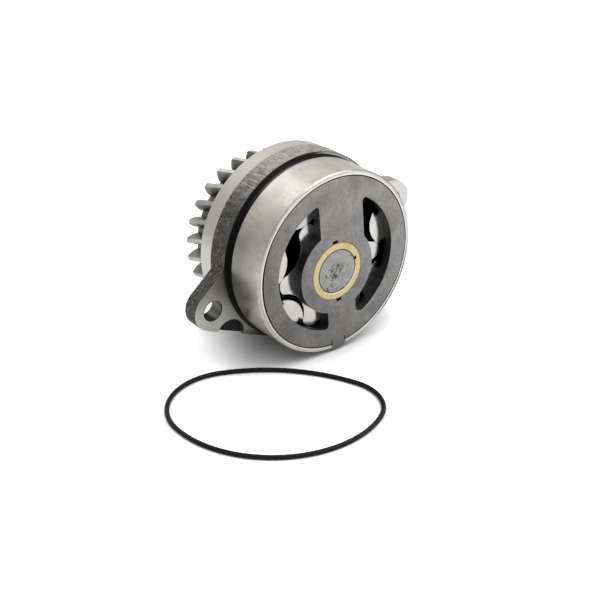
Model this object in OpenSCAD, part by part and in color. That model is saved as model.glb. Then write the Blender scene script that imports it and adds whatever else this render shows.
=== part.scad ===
// Gear driven engine oil pump: a barrel body with a mounting flange, a port plate let into its
// front, a gerotor pair inside, and a helical gear on the rear end of the shaft.
// It is drawn about the barrel's axis, Z, with the port face at 0 and depths counted backwards,
// and is then laid on its flange with the port face looking along -Y and +Z up.

/* [Barrel] */
// Diameter of the turned barrel that enters the engine block
barrel_d = 80; // [78.5:0.1:84]
// Length of the barrel from the port face to the O-ring groove
barrel_len = 18.5; // [18:0.1:30]
// Chamfer on the front edge of the barrel
rim_chamfer = 0.5; // [0.2:0.1:0.8]
// Chamfer on the barrel's edge at the groove
groove_chamfer = 0.4; // [0.2:0.1:0.8]
// Width of the O-ring groove between barrel and flange
groove_w = 2.8; // [2.2:0.1:5]
// Depth of the O-ring groove below the barrel
groove_depth = 1.5; // [1:0.1:2]

/* [Flange and ears] */
// Diameter of the as-cast flange rim
flange_d = 83; // [82.8:0.1:88]
// Thickness of the flange rim
flange_t = 9.6; // [8:0.1:16]
// Width of the relief outside the barrel
relief_gap = 1.1; // [0.3:0.1:1.2]
// Depth of the relief cut into the corner of the mounting face
relief_depth = 0.4; // [0.2:0.1:1]
// Diameter of the turned ring behind the flange
ring_d = 82.2; // [80:0.1:82.6]
// Length of the turned ring
ring_t = 8.6; // [6:0.1:16]
// Chamfer on the rear edge of the turned ring
ring_chamfer = 0.8; // [0.2:0.1:2]
// Thickness of the bolt ears
ear_t = 7.2; // [5:0.1:8]
// Radius of the rounded end of each ear
ear_r = 8.8; // [7:0.1:8.9]
// Radius of the circle that the bolt holes lie on
bolt_circle_r = 50; // [50:0.1:56]
// Diameter of the bolt holes
bolt_hole_d = 8.7; // [6:0.1:10]
// Angle of the left ear, seen from the front, counted from the right
left_ear_angle = 198.3; // [190:0.1:206]
// Angle of the right ear
right_ear_angle = 9.3; // [0:0.1:20]
// Taper of an ear's straight flanks
ear_taper = 22; // [15:0.5:25]
// Radius of the fillet between an ear and the flange
ear_fillet = 8; // [3:0.1:10]
// Radius of the scallop sunk into the mounting face beside the left ear
scallop_r = 7.1; // [4:0.1:7.2]
// Angle between the left ear and its scallop
scallop_step = 18.7; // [18.7:0.1:22]
// Depth of the scallop
scallop_depth = 2.6; // [1:0.1:5]
// Metal left between the scallop and the flange's own circle
scallop_land = 0.6; // [0.2:0.1:0.8]

/* [Rear boss] */
// Radius of the boss that the gear runs against
boss_r = 17.5; // [16:0.1:20]
// Height of that boss above the ring's rear face
boss_h = 1.5; // [1:0.1:3]

/* [Port plate] */
// Thickness of the port plate
plate_t = 4.4; // [4:0.1:6]
// Wall of the body left around the plate
rim_wall = 2; // [1.2:0.1:2.4]
// Width of the tab that keeps the plate from turning
tab_w = 7; // [4:0.1:12]
// Angle of the tab
tab_angle = -87.5; // [-100:0.5:-75]
// Length and width of the relief slits beside the tab
slit_len = 2.2; // [1:0.1:3]
slit_w = 0.5; // [0.3:0.1:0.8]
// Radius of the outer wall of both ports
port_outer_r = 29.8; // [27:0.1:31]
// Radius of the ports' inner wall, around the shaft
port_hub_r = 18.7; // [17:0.1:20]
// Distance of the left port's upper wall from the pump's line of centres
left_port_top = 7.1; // [4:0.1:12]
// Distance of the left port's lower wall from the line of centres
left_port_low = 6.2; // [4:0.1:12]
// Distance of the right port's upper wall from the line of centres
right_port_top = 15.2; // [4:0.1:16]
// Distance of the right port's lower wall from the line of centres
right_port_low = 8.6; // [4:0.1:12]
// Radius of the ports' corners at their outer wall
port_corner_r = 1.5; // [0.5:0.1:2]
// Radius of the larger corner, at the right port's lower end
port_low_corner_r = 2.7; // [0.5:0.1:3]
// Depth of the blind ports sunk into the pocket floor, opposite the real ones
blind_port_depth = 3; // [1:0.1:5]

/* [Gerotor] */
// Distance between the shaft's axis and the barrel's axis
ecc = 3.75; // [3.6:0.01:3.85]
// Direction of the shaft's axis from the barrel's axis
ecc_angle = -85; // [-95:0.5:-75]
// Number of lobes on the inner rotor; the outer rotor has one more
inner_lobes = 6;
// Radius of the circle that the outer rotor's lobe centres lie on
lobe_circle_r = 33.6; // [33.2:0.1:34]
// Radius of the outer rotor's round lobes
lobe_r = 11; // [10.5:0.1:11.3]
// Width of both rotors
rotor_w = 13.4; // [10:0.1:14]
// Outside diameter of the outer rotor
outer_rotor_d = 71; // [69:0.1:73]
// Turn of the inner rotor from the place where a lobe points along the line of centres
rotor_turn = 28; // [0:1:60]

/* [Shaft and bushes] */
// Diameter of the shaft in its bushes
shaft_d = 19.5; // [18.5:0.1:21]
// Outside diameter of the bushes
bush_d = 25.7; // [23.5:0.1:28]
// Length of each bush in the body
bush_len = 8.6; // [6:0.1:10]
// Width of the oil notches beside the plate's bush
notch_w = 2.7; // [1.5:0.1:4]
// Depth of the oil notches beside the plate's bush
notch_depth = 1.3; // [0.5:0.1:2]
// Width of the oil groove along the bore of each bush
oil_groove_w = 1.6; // [1:0.1:3]
// Depth of the oil groove along the bore of each bush
oil_groove_depth = 1; // [0.4:0.1:1.5]
// Angle of the oil groove
oil_groove_angle = 20; // [0:1:60]
// Thickness of the thrust washer
thrust_t = 1.5; // [1:0.1:3]
// Side of the square keys
key_w = 5; // [4:0.1:6]
// Length of the keys
key_len = 11; // [8:0.1:12]

/* [Drive gear] */
// Number of teeth
gear_teeth = 26; // [22:1:27]
// Module of the teeth, measured across the gear's end
gear_module = 2.55; // [2.2:0.05:2.6]
// Pressure angle of the teeth
pressure_angle = 20; // [18:0.5:22]
// Angle of the teeth to the shaft, as the teeth are helical
helix_angle = 15; // [5:0.5:25]
// Face width of the gear
gear_w = 16; // [14:0.1:24]
// Chamfer on the ends of the teeth
tooth_chamfer = 0.3; // [0.2:0.1:1.5]
// Angle of one tooth at the gear's rear face
tooth_angle = 92.5; // [86:0.5:100]
// Depth of the recess in each side of the gear
web_recess = 4.5; // [2:0.1:5.5]
// Radius of the gear's hub
hub_r = 14.5; // [14:0.1:17]
// Thickness of the gear's rim under the teeth
gear_rim = 4; // [3:0.1:6]
// Diameter of the shaft where the gear sits
gear_seat_d = 18; // [17:0.1:18.4]

/* [Gear fixing] */
// Diameter of the shaft's threaded end
thread_d = 16; // [14:0.1:16.5]
// Thickness of the spring washer
washer_t = 2.5; // [1.5:0.1:4]
// Outside radius of the spring washer
washer_r = 12; // [11.5:0.1:13]
// Width of the spring washer's gap
washer_gap = 1.5; // [1:0.1:3]
// Width of the nut across its flats
nut_af = 24; // [23:0.5:27]
// Thickness of the nut
nut_t = 8; // [6:0.5:12]
// Length of thread that stands out of the nut
thread_end = 2; // [1:0.5:5]

/* [O-ring] */
// Thickness of the loose O-ring
oring_t = 1.9; // [1.5:0.1:2.2]
// Middle of its near round end, right and back from the port face's centre
oring_at = [-29.4, -34.1];
// Direction from the near end to the far end
oring_angle = 143; // [120:1:160]
// Distance between the middles of its two round ends
oring_reach = 38.5; // [30:0.5:42]
// Radius of the near end
oring_near_r = 20.2; // [19:0.1:24]
// Radius of the far end
oring_far_r = 26.7; // [22:0.1:28]
// Radius of its left side
oring_left_r = 70.8; // [50:0.1:90]
// Radius of its right side
oring_right_r = 45.3; // [40:0.1:60]

/* [Clearances] */
// Gap all round the port plate
plate_gap = 0.2; // [0.05:0.01:0.3]
// Running gap of the outer rotor in its pocket
pocket_gap = 0.08; // [0.03:0.01:0.1]
// Running gap at each side face of the rotors
side_gap = 0.05; // [0.03:0.01:0.1]
// Gap between the lobes of the two rotors
lobe_gap = 0.08; // [0.05:0.01:0.15]
// Running gap of the shaft in its bushes
shaft_gap = 0.03; // [0.02:0.01:0.08]
// Gap of pressed and keyed seats
seat_gap = 0.02; // [0.01:0.005:0.03]
// Gap between the gear's hub and the thrust washer
thrust_gap = 0.1; // [0.05:0.01:0.3]

/* [Hidden] */
$fn = 96;
// How far a cutter reaches past the face that it opens
past = 1;
// How far an ear's side runs inside the rounds that it joins, so that it crosses them cleanly
sink = 0.02;

barrel_r = barrel_d / 2;
flange_r = flange_d / 2;
ring_r = ring_d / 2;
shaft_r = shaft_d / 2;
bush_r = bush_d / 2;
seat_r = gear_seat_d / 2;
outer_lobes = inner_lobes + 1;

// Depths behind the port face
face_depth = barrel_len + groove_w;
flange_end = face_depth + flange_t;
body_end = flange_end + ring_t;
boss_end = body_end + boss_h;
rotor_front = plate_t + side_gap;
pocket_floor = rotor_front + rotor_w + side_gap;
shoulder = boss_end + thrust_t + thrust_gap;
gear_end = shoulder + gear_w;
nut_front = gear_end + washer_t;
nut_end = nut_front + nut_t;
shaft_end = nut_end + thread_end;

plate_r = barrel_r - rim_wall - plate_gap;
pocket_r = outer_rotor_d / 2 + pocket_gap;
root_r = lobe_circle_r - lobe_r + 2 * ecc + 3 * lobe_gap;
outer_turn = rotor_turn * inner_lobes / outer_lobes;

// The lowest ear reaches as far down as the flange, and the pump rests on both
low_ear_angle = 270 + acos((flange_r - ear_r) / bolt_circle_r);
// The tangent that joins the left ear's end to the flange
tangent_taper = asin((flange_r - ear_r) / bolt_circle_r);

function polar(r, a) = [r * cos(a), r * sin(a)];

// Lays the pump down: the port face looks along -Y
module laid() rotate([90, 0, 0]) children();
// A flat outline made solid between two depths
module slab(near, far) translate([0, 0, -far]) linear_extrude(far - near) children();
module on_shaft() translate(polar(ecc, ecc_angle)) children();
module ring(inside, outside) difference() {
    circle(outside);
    circle(inside);
}

// One side of an ear that lies along X: a straight flank, and a fillet that runs into the flange
module ear_flank() {
    normal = [sin(ear_taper), cos(ear_taper)];
    reach = bolt_circle_r * sin(ear_taper) + ear_r - sink + ear_fillet;
    along = sqrt((flange_r + ear_fillet) ^ 2 - reach ^ 2);
    fillet_at = reach * normal + along * [cos(ear_taper), -sin(ear_taper)];
    difference() {
        polygon([[0, 0], fillet_at, fillet_at - ear_fillet * normal,
            [bolt_circle_r, 0] + (ear_r - sink) * normal, [bolt_circle_r, 0]]);
        translate(fillet_at) circle(ear_fillet + sink);
    }
}

// The other kind of side: a tangent to the flange
module ear_tangent() {
    normal = [sin(tangent_taper), cos(tangent_taper)];
    polygon([[0, 0], (flange_r - sink) * normal, [bolt_circle_r, 0] + (ear_r - sink) * normal,
        [bolt_circle_r, 0]]);
}

module ear_end() translate([bolt_circle_r, 0]) circle(ear_r);

module ears() {
    rotate(left_ear_angle) {
        ear_end();
        mirror([0, 1]) ear_flank();
        ear_tangent();
    }
    for (a = [right_ear_angle, low_ear_angle]) rotate(a) {
        ear_end();
        ear_flank();
        mirror([0, 1]) ear_flank();
    }
}

module bolt_holes()
    for (a = [left_ear_angle, right_ear_angle, low_ear_angle])
        translate(polar(bolt_circle_r, a)) circle(d = bolt_hole_d);

// Cuts the corner between a port's end wall and its outer wall, and leaves a round one; the end
// wall is wall_at away from the line of centres
module port_corner(wall_at, r) {
    middle = [sqrt((port_outer_r - r) ^ 2 - (wall_at + r) ^ 2), wall_at + r];
    difference() {
        polygon([middle, [middle.x, wall_at - past], [port_outer_r + past, wall_at - past],
            middle * (port_outer_r + past) / (port_outer_r - r)]);
        translate(middle) circle(r);
    }
}

// A port, for a line of centres along X: the space between two round walls, closed by an end
// wall on each side of the middle, top_at and low_at away from the line
module port(top_at, low_at, low_corner_r) difference() {
    circle(port_outer_r);
    translate([ecc, 0]) circle(port_hub_r);
    polygon([[-barrel_r, -barrel_r], [barrel_r, -barrel_r], [barrel_r, low_at], [0, low_at],
        [0, top_at], [-barrel_r, top_at]]);
    port_corner(low_at, low_corner_r);
    mirror([1, 0]) port_corner(top_at, port_corner_r);
}

module ports() rotate(ecc_angle) {
    port(right_port_top, right_port_low, port_low_corner_r);
    mirror([0, 1]) port(left_port_top, left_port_low, port_corner_r);
}

// The tab that reaches through the rim, to the barrel's outside
module tab(w, reach) rotate(tab_angle) translate([plate_r - 2 * rim_wall, -w / 2])
    square([reach - plate_r + 2 * rim_wall, w]);

module barrel_form() rotate_extrude() polygon([
    [0, 0], [barrel_r - rim_chamfer, 0], [barrel_r, -rim_chamfer],
    [barrel_r, groove_chamfer - barrel_len], [barrel_r - groove_chamfer, -barrel_len],
    [barrel_r - groove_depth, -barrel_len], [barrel_r - groove_depth, -face_depth - relief_depth],
    [barrel_r + relief_gap, -face_depth - relief_depth], [barrel_r + relief_gap, -face_depth],
    [flange_r, -face_depth], [flange_r, -flange_end], [ring_r, -flange_end],
    [ring_r, ring_chamfer - body_end], [ring_r - ring_chamfer, -body_end], [0, -body_end]]);

module pump_body() color("silver") laid() difference() {
    union() {
        barrel_form();
        slab(face_depth, face_depth + ear_t) difference() {
            ears();
            circle(barrel_r + relief_gap);
        }
        slab(body_end - past, boss_end) on_shaft() circle(boss_r);
    }
    slab(-past, plate_t) circle(plate_r + plate_gap);
    slab(-past, plate_t) tab(tab_w + 2 * plate_gap, barrel_r + past);
    slab(plate_t - past, pocket_floor) circle(pocket_r);
    slab(pocket_floor - past, pocket_floor + blind_port_depth) ports();
    slab(pocket_floor - past, boss_end + past) on_shaft() circle(bush_r + seat_gap);
    slab(face_depth - past, flange_end) bolt_holes();
    slab(face_depth - past, face_depth + scallop_depth)
        translate(polar(flange_r + scallop_land + scallop_r, left_ear_angle + scallop_step))
            circle(scallop_r);
}

module cover_plate() color("gray") laid() slab(0, plate_t) difference() {
    union() {
        circle(plate_r);
        intersection() {
            tab(tab_w, barrel_r);
            circle(barrel_r);
        }
    }
    ports();
    on_shaft() circle(bush_r + seat_gap);
    on_shaft() rotate(ecc_angle) translate([-bush_r - notch_depth, -notch_w / 2])
        square([2 * (bush_r + notch_depth), notch_w]);
    rotate(tab_angle) for (side = [-1, 1]) translate([plate_r - slit_len, side * tab_w / 2 - slit_w / 2])
        square([slit_len + plate_gap, slit_w]);
}

module bush(near, far) laid() on_shaft() slab(near, far) difference() {
    ring(shaft_r + shaft_gap, bush_r);
    rotate(oil_groove_angle) translate([0, -oil_groove_w / 2])
        square([shaft_r + oil_groove_depth, oil_groove_w]);
}

module plate_bush() color("goldenrod") bush(0, plate_t);
module front_body_bush() color("goldenrod")
    bush(pocket_floor + side_gap, pocket_floor + side_gap + bush_len);
module rear_body_bush() color("goldenrod") bush(boss_end - side_gap - bush_len, boss_end - side_gap);

// A key's outline, from half its height inside the seat to half outside
module key_outline(r, gap) translate([r - key_w / 2, -key_w / 2 - gap]) square([key_w + gap, key_w + 2 * gap]);

rotor_key_front = rotor_front + (rotor_w - key_len) / 2;
gear_key_front = shoulder + (gear_w - key_len) / 2;

module drive_shaft() color("darkgray") laid() on_shaft() difference() {
    union() {
        slab(0, shoulder) circle(shaft_r);
        slab(shoulder, gear_end) circle(seat_r);
        slab(gear_end, shaft_end) circle(d = thread_d);
    }
    slab(rotor_key_front, rotor_key_front + key_len) rotate(ecc_angle + rotor_turn)
        key_outline(shaft_r, seat_gap);
    slab(gear_key_front, gear_key_front + key_len) rotate(tooth_angle) key_outline(seat_r, seat_gap);
}

module rotor_key() color("dimgray") laid() on_shaft()
    slab(rotor_key_front + seat_gap, rotor_key_front + key_len - seat_gap)
        rotate(ecc_angle + rotor_turn) key_outline(shaft_r, 0);

module gear_key() color("dimgray") laid() on_shaft()
    slab(gear_key_front + seat_gap, gear_key_front + key_len - seat_gap)
        rotate(tooth_angle) key_outline(seat_r, 0);

// The inner rotor's flank is what a round outer lobe sweeps as the rotors roll: the path of the
// lobe's centre, moved inwards by the lobe's radius
function lobe_path(t) = polar(lobe_circle_r, t) + polar(ecc, outer_lobes * t);
function lobe_slope(t) = polar(lobe_circle_r, t) + outer_lobes * polar(ecc, outer_lobes * t);
function inner_flank(t) = lobe_path(t) - (lobe_r + lobe_gap) * lobe_slope(t) / norm(lobe_slope(t));
// The path turns sharply at each root, so the steps along it are set by how far the flank moves:
// the longest facet, the longest turn of one step, and the short turn that measures the movement
flank_facet = 0.5;
longest_turn = 1.25;
short_turn = 0.01;
function flank_move(t) = norm(inner_flank(t + short_turn) - inner_flank(t));
function flank_step(t) = min(longest_turn, flank_facet * short_turn / flank_move(t));
function climb(t, top) = t < top ? concat([t], climb(t + flank_step(t), top)) : [];
half_lobe = 180 / inner_lobes;
rise = climb(half_lobe, 2 * half_lobe - longest_turn / 4);
inner_outline = [for (lobe = [0 : inner_lobes - 1]) let (from = 2 * lobe * half_lobe) each concat(
    [for (t = rise) inner_flank(from + t)],
    [inner_flank(from + 2 * half_lobe)],
    [for (i = [len(rise) - 1 : -1 : 1]) inner_flank(from + 4 * half_lobe - rise[i])])];

module inner_rotor() color("lightgray") laid() on_shaft() slab(rotor_front, rotor_front + rotor_w)
    rotate(ecc_angle + rotor_turn) difference() {
        polygon(inner_outline);
        circle(shaft_r + seat_gap);
        key_outline(shaft_r, seat_gap);
    }

module outer_rotor() color("lightgray") laid() slab(rotor_front, rotor_front + rotor_w)
    rotate(ecc_angle + outer_turn) difference() {
        circle(d = outer_rotor_d);
        difference() {
            circle(root_r);
            for (i = [0 : outer_lobes - 1]) translate(polar(lobe_circle_r, (i + 0.5) * 360 / outer_lobes))
                circle(lobe_r);
        }
    }

module thrust_washer() color("goldenrod") laid() on_shaft()
    slab(boss_end, boss_end + thrust_t) ring(shaft_r + shaft_gap, boss_r);

// Involute teeth, with the usual depth below the pitch circle in modules
foot_depth = 1.25;
pitch_r = gear_module * gear_teeth / 2;
base_r = pitch_r * cos(pressure_angle);
tip_r = pitch_r + gear_module;
foot_r = pitch_r - foot_depth * gear_module;
deg = 180 / PI;
function involute(a) = tan(a) * deg - a;
// Half of a tooth's angle at a radius
function half_tooth(r) = let (a = acos(min(1, base_r / r)))
    90 / gear_teeth + involute(pressure_angle) - involute(a);
tooth_steps = 5;
tooth_radii = [foot_r, for (i = [0 : tooth_steps]) base_r + (tip_r - base_r) * i / tooth_steps];
gear_outline = [for (tooth = [0 : gear_teeth - 1]) let (middle = tooth * 360 / gear_teeth) each concat(
    [for (r = tooth_radii) polar(r, middle - half_tooth(r))],
    [for (i = [len(tooth_radii) - 1 : -1 : 0]) polar(tooth_radii[i], middle + half_tooth(tooth_radii[i]))])];

// The turned blank: chamfered at its edges and recessed in both sides between hub and rim
module gear_blank() rotate_extrude() {
    recess_r = foot_r - gear_rim;
    polygon([[seat_r + seat_gap, 0], [hub_r, 0], [hub_r, -web_recess], [recess_r, -web_recess], [recess_r, 0],
        [tip_r - tooth_chamfer, 0], [tip_r + past, -tooth_chamfer - past],
        [tip_r + past, tooth_chamfer + past - gear_w], [tip_r - tooth_chamfer, -gear_w],
        [recess_r, -gear_w], [recess_r, web_recess - gear_w], [hub_r, web_recess - gear_w],
        [hub_r, -gear_w], [seat_r + seat_gap, -gear_w]]);
}

// The teeth wind round the shaft like a screw's thread, by so many degrees in each millimetre
helix_turn = tan(helix_angle) / pitch_r * deg;
helix_steps = 4;
module helical_teeth() {
    long = gear_w + 2 * past;
    translate([0, 0, past - long]) rotate(past * helix_turn)
        linear_extrude(long, twist = long * helix_turn, slices = helix_steps) polygon(gear_outline);
}

module drive_gear() color("darkgray") laid() on_shaft() translate([0, 0, -shoulder]) rotate(tooth_angle)
    difference() {
        intersection() {
            gear_blank();
            helical_teeth();
        }
        slab(-past, gear_w + past) key_outline(seat_r, seat_gap);
    }

module spring_washer() color("dimgray") laid() on_shaft() slab(gear_end, nut_front) difference() {
    ring(thread_d / 2 + shaft_gap, washer_r);
    translate([0, -washer_gap / 2]) square([washer_r + past, washer_gap]);
}

module gear_nut() {
    corner_r = nut_af / 2 / cos(30);
    chamfer = corner_r - nut_af / 2;
    color("darkgray") laid() on_shaft() intersection() {
        slab(nut_front, nut_end) difference() {
            circle(corner_r, $fn = 6);
            circle(thread_d / 2 + seat_gap);
        }
        rotate_extrude() polygon([[0, -nut_front], [corner_r, -nut_front], [corner_r, chamfer / 2 - nut_end],
            [corner_r - chamfer, -nut_end], [0, -nut_end]]);
    }
}

// An arc of rubber, counter-clockwise between two angles
module rubber_arc(at, r, from, to, t) translate(at) rotate(from)
    rotate_extrude(angle = to - from) translate([r, 0]) circle(d = t, $fn = 32);

// The middle of a side arc that touches both ends from outside, for a near end at 0 and a far one
// on the X axis; hand is 1 for the side at +Y
function side_middle(r, hand) =
    let (near = r - oring_near_r, far = r - oring_far_r,
        x = (oring_reach ^ 2 + near ^ 2 - far ^ 2) / (2 * oring_reach))
    [x, -hand * sqrt(near ^ 2 - x ^ 2)];
function heading(from, to) = atan2(to.y - from.y, to.x - from.x);

// The loose O-ring lies on the ground as an egg of four arcs. The side arcs are a hair thinner
// than the ends and run on into them
module o_ring() {
    far = [oring_reach, 0];
    right = side_middle(oring_right_r, 1);
    left = side_middle(oring_left_r, -1);
    side_lap = 1;
    side_t = oring_t - 0.04;
    color("black") translate([oring_at.x, oring_at.y, oring_t / 2 - flange_r]) rotate(oring_angle) {
        rubber_arc([0, 0], oring_near_r, heading(right, [0, 0]), heading(left, [0, 0]) + 360, oring_t);
        rubber_arc(far, oring_far_r, heading(left, far), heading(right, far), oring_t);
        rubber_arc(right, oring_right_r, heading(right, far) - side_lap,
            heading(right, [0, 0]) + side_lap, side_t);
        rubber_arc(left, oring_left_r, heading(left, [0, 0]) - side_lap,
            heading(left, far) + side_lap, side_t);
    }
}

pump_body();
cover_plate();
plate_bush();
front_body_bush();
rear_body_bush();
drive_shaft();
rotor_key();
inner_rotor();
outer_rotor();
thrust_washer();
drive_gear();
gear_key();
spring_washer();
gear_nut();
o_ring();
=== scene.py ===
# %% [markdown]
# # A gear driven engine oil pump
#
# The pump is a turned iron barrel with a cast flange and three ears, a ported plate let into its
# front, a pair of lobed rotors behind the ports, and a helical gear on the rear end of its shaft. Its
# rubber O-ring lies beside it. All shapes come from the CAD model, which is already at its real
# size. This script adds what a drawing doesn't hold: the finish of each surface, a floor, the
# studio's light and a camera.

# %% Load the model
import math

import bpy
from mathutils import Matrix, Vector


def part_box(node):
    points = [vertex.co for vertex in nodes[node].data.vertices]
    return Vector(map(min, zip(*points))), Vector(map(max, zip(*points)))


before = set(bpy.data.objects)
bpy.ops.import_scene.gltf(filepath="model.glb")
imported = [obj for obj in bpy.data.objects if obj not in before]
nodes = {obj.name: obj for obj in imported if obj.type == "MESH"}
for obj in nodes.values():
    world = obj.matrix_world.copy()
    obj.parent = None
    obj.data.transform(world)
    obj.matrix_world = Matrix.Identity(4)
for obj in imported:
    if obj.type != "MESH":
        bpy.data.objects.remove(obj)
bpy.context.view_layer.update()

print("pieces:", ", ".join(sorted(nodes)))

# %% [markdown]
# ## Places on the pump
#
# Most finishes change at a known place, such as the edge between the turned barrel and the rough
# flange. On the real pump a cutter stopped there, so the change is sharp and at one depth. These
# depths and radii are named once, in metres: depths run back from the port face along +Y, and
# radii are measured from the barrel's axis.

# %% Name the depths and radii
mm = 0.001
neck_depth = 18.5 * mm
face_depth = 21.3 * mm
relief_end_depth = 22.5 * mm
ear_back_depth = 28.5 * mm
rim_end_depth = 30.85 * mm
relief_radius = 41.15 * mm
relief_wall_radius = 40.3 * mm
seam_radius = 38.0 * mm
plate_radius = 37.8 * mm
seam_width = 0.05 * mm
shaft_low, shaft_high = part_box("drive_shaft")
shaft_x = (shaft_low.x + shaft_high.x) / 2
shaft_z = (shaft_low.z + shaft_high.z) / 2
print("shaft axis at %.2f, %.2f mm" % (shaft_x / mm, shaft_z / mm))

# %% [markdown]
# ## The camera
#
# The photographer stood to the left of the port face and looked down on it. A long lens keeps the
# circles close to true ellipses. The place, the heading and the tilt were worked out from the
# ellipses of the plate, the rim and the bush, so they are plain numbers here.

# %% Set up the camera
camera_heading = 37.87
camera_tilt = 27.71
camera_data = bpy.data.cameras.new("camera")
camera_data.lens = 76.99
camera_data.sensor_width = 36.0
camera = bpy.data.objects.new("camera", camera_data)
camera.location = (-302.69 * mm, -364.68 * mm, 231.78 * mm)
camera.rotation_euler = (math.radians(90 - camera_tilt), 0, math.radians(-camera_heading))
bpy.context.scene.collection.objects.link(camera)
bpy.context.scene.camera = camera
bpy.context.scene.view_settings.view_transform = "Standard"
print("camera", tuple(round(v, 4) for v in camera.location))

# %% [markdown]
# ## Helpers for shader nodes
#
# A material is a small network: each node has inputs, and an input takes either a plain value or
# another node's output. `add` makes a node and fills its inputs in one call, whichever of the two
# they are given, so that the materials below read like a list of what they do. Object coordinates
# stay with the piece when it moves, and so do marks that are made from them.

# %% Write the node helpers
def feed(tree, value, socket):
    if isinstance(value, bpy.types.NodeSocket):
        tree.links.new(value, socket)
    else:
        socket.default_value = value


def add(tree, kind, inputs, **settings):
    node = tree.nodes.new("ShaderNode" + kind)
    for name, value in settings.items():
        setattr(node, name, value)
    for name, value in inputs.items():
        feed(tree, value, node.inputs[name])
    return node


def calc(tree, operation, *values):
    numbered = dict(enumerate(values))
    return add(tree, "Math", numbered, operation=operation).outputs[0]


def coordinates(tree):
    return add(tree, "TexCoord", {}).outputs


def split(tree, vector):
    return add(tree, "SeparateXYZ", {"Vector": vector}).outputs


print("node helpers ready")

# %% [markdown]
# ### Masks
#
# A mask is a number between 0 and 1 at each point of a surface, and says where a finish is. The
# product of two masks is 1 only where both are, and the higher of two is 1 where either is. `over`
# and `under` change at once, as a cutter's edge does, while `fade` runs in a straight line between
# two values, as dirt and handling do.

# %% Write the mask helpers
def chain(tree, operation, values):
    result = values[0]
    for value in values[1:]:
        result = calc(tree, operation, result, value)
    return result


def times(tree, *values):
    return chain(tree, "MULTIPLY", values)


def either(tree, *masks):
    return chain(tree, "MAXIMUM", masks)


def over(tree, value, limit):
    return calc(tree, "GREATER_THAN", value, limit)


def under(tree, value, limit):
    return calc(tree, "LESS_THAN", value, limit)


def within(tree, value, low, high):
    return times(tree, over(tree, value, low), under(tree, value, high))


def away(tree, value, middle=0.0):
    return calc(tree, "ABSOLUTE", calc(tree, "SUBTRACT", value, middle))


def distance(tree, across, up):
    squares = calc(tree, "ADD", times(tree, across, across), times(tree, up, up))
    return calc(tree, "SQRT", squares)


def fade(tree, value, start, end, low=0.0, high=1.0):
    ends = {"Value": value, "From Min": start, "From Max": end, "To Min": low, "To Max": high}
    return add(tree, "MapRange", ends, clamp=True).outputs["Result"]


print("mask helpers ready")

# %% [markdown]
# ### Colours
#
# A Mix node holds one pair of inputs for numbers and another for colours, so `blend` looks at what
# it is given and takes the right pair. `tinge` lays a thin layer of a colour over another. Most of
# the pump is grey, and iron's grey leans a little to yellow, which is the warmth in `grey`.

# %% Write the colour helpers
number_inputs = 2
colour_inputs = 6
colour_result = 2


def holds_colour(value):
    if isinstance(value, bpy.types.NodeSocket):
        return value.type == "RGBA"
    return isinstance(value, tuple)


def blend(tree, mask, plain, marked):
    if holds_colour(plain) or holds_colour(marked):
        pair = {0: mask, colour_inputs: plain, colour_inputs + 1: marked}
        return add(tree, "Mix", pair, data_type="RGBA").outputs[colour_result]
    pair = {0: mask, number_inputs: plain, number_inputs + 1: marked}
    return add(tree, "Mix", pair, data_type="FLOAT").outputs[0]


def tinge(tree, colour, mask, strength, marked):
    return blend(tree, times(tree, mask, strength), colour, marked)


def grey(value, warmth=0.0):
    return (value * (1 + warmth), value, value * (1 - warmth), 1.0)


print("colour helpers ready")

# %% [markdown]
# ## Shader groups
#
# Several finishes share the same marks, so each mark is a node group: a small network with named
# inputs and outputs that is made once and then placed in many materials. A group here puts out
# heights, masks, a radius or a normal, and never a colour: each material decides what colour or
# gloss they become.

# %% Write the group helpers
def new_group(name, inputs, outputs):
    group = bpy.data.node_groups.new(name, "ShaderNodeTree")
    for title, value in inputs.items():
        socket = group.interface.new_socket(title, in_out="INPUT", socket_type="NodeSocketFloat")
        socket.default_value = value
    for title, kind in outputs.items():
        group.interface.new_socket(title, in_out="OUTPUT", socket_type="NodeSocket" + kind)
    given = group.nodes.new("NodeGroupInput").outputs
    result = group.nodes.new("NodeGroupOutput").inputs
    return group, given, result


def place(tree, group, **inputs):
    node = tree.nodes.new("ShaderNodeGroup")
    node.node_tree = group
    for name, value in inputs.items():
        feed(tree, value, node.inputs[name.replace("_", " ").capitalize()])
    return node.outputs


def noise(tree, point, scale, detail=4.0, roughness=0.5):
    sockets = {"Vector": point, "Scale": scale, "Detail": detail, "Roughness": roughness}
    return add(tree, "TexNoise", sockets).outputs[0]


print("group helpers ready")

# %% [markdown]
# ### Turned marks
#
# A lathe tool leaves fine rings: on a cylinder they lie side by side along the axis, and on a face
# they lie inside each other. Adding the radius to the depth gives one number that crosses both
# kinds of ring, so a noise that is stretched along that number draws both. The angle enters as
# its sine and cosine, which have no seam where a full turn ends. The streaks are the same rings,
# drawn wider. The radius goes out too, because many masks need it.

# %% Make the turned marks group
smallest_radius = 0.1 * mm
streak_share = 0.12


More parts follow.
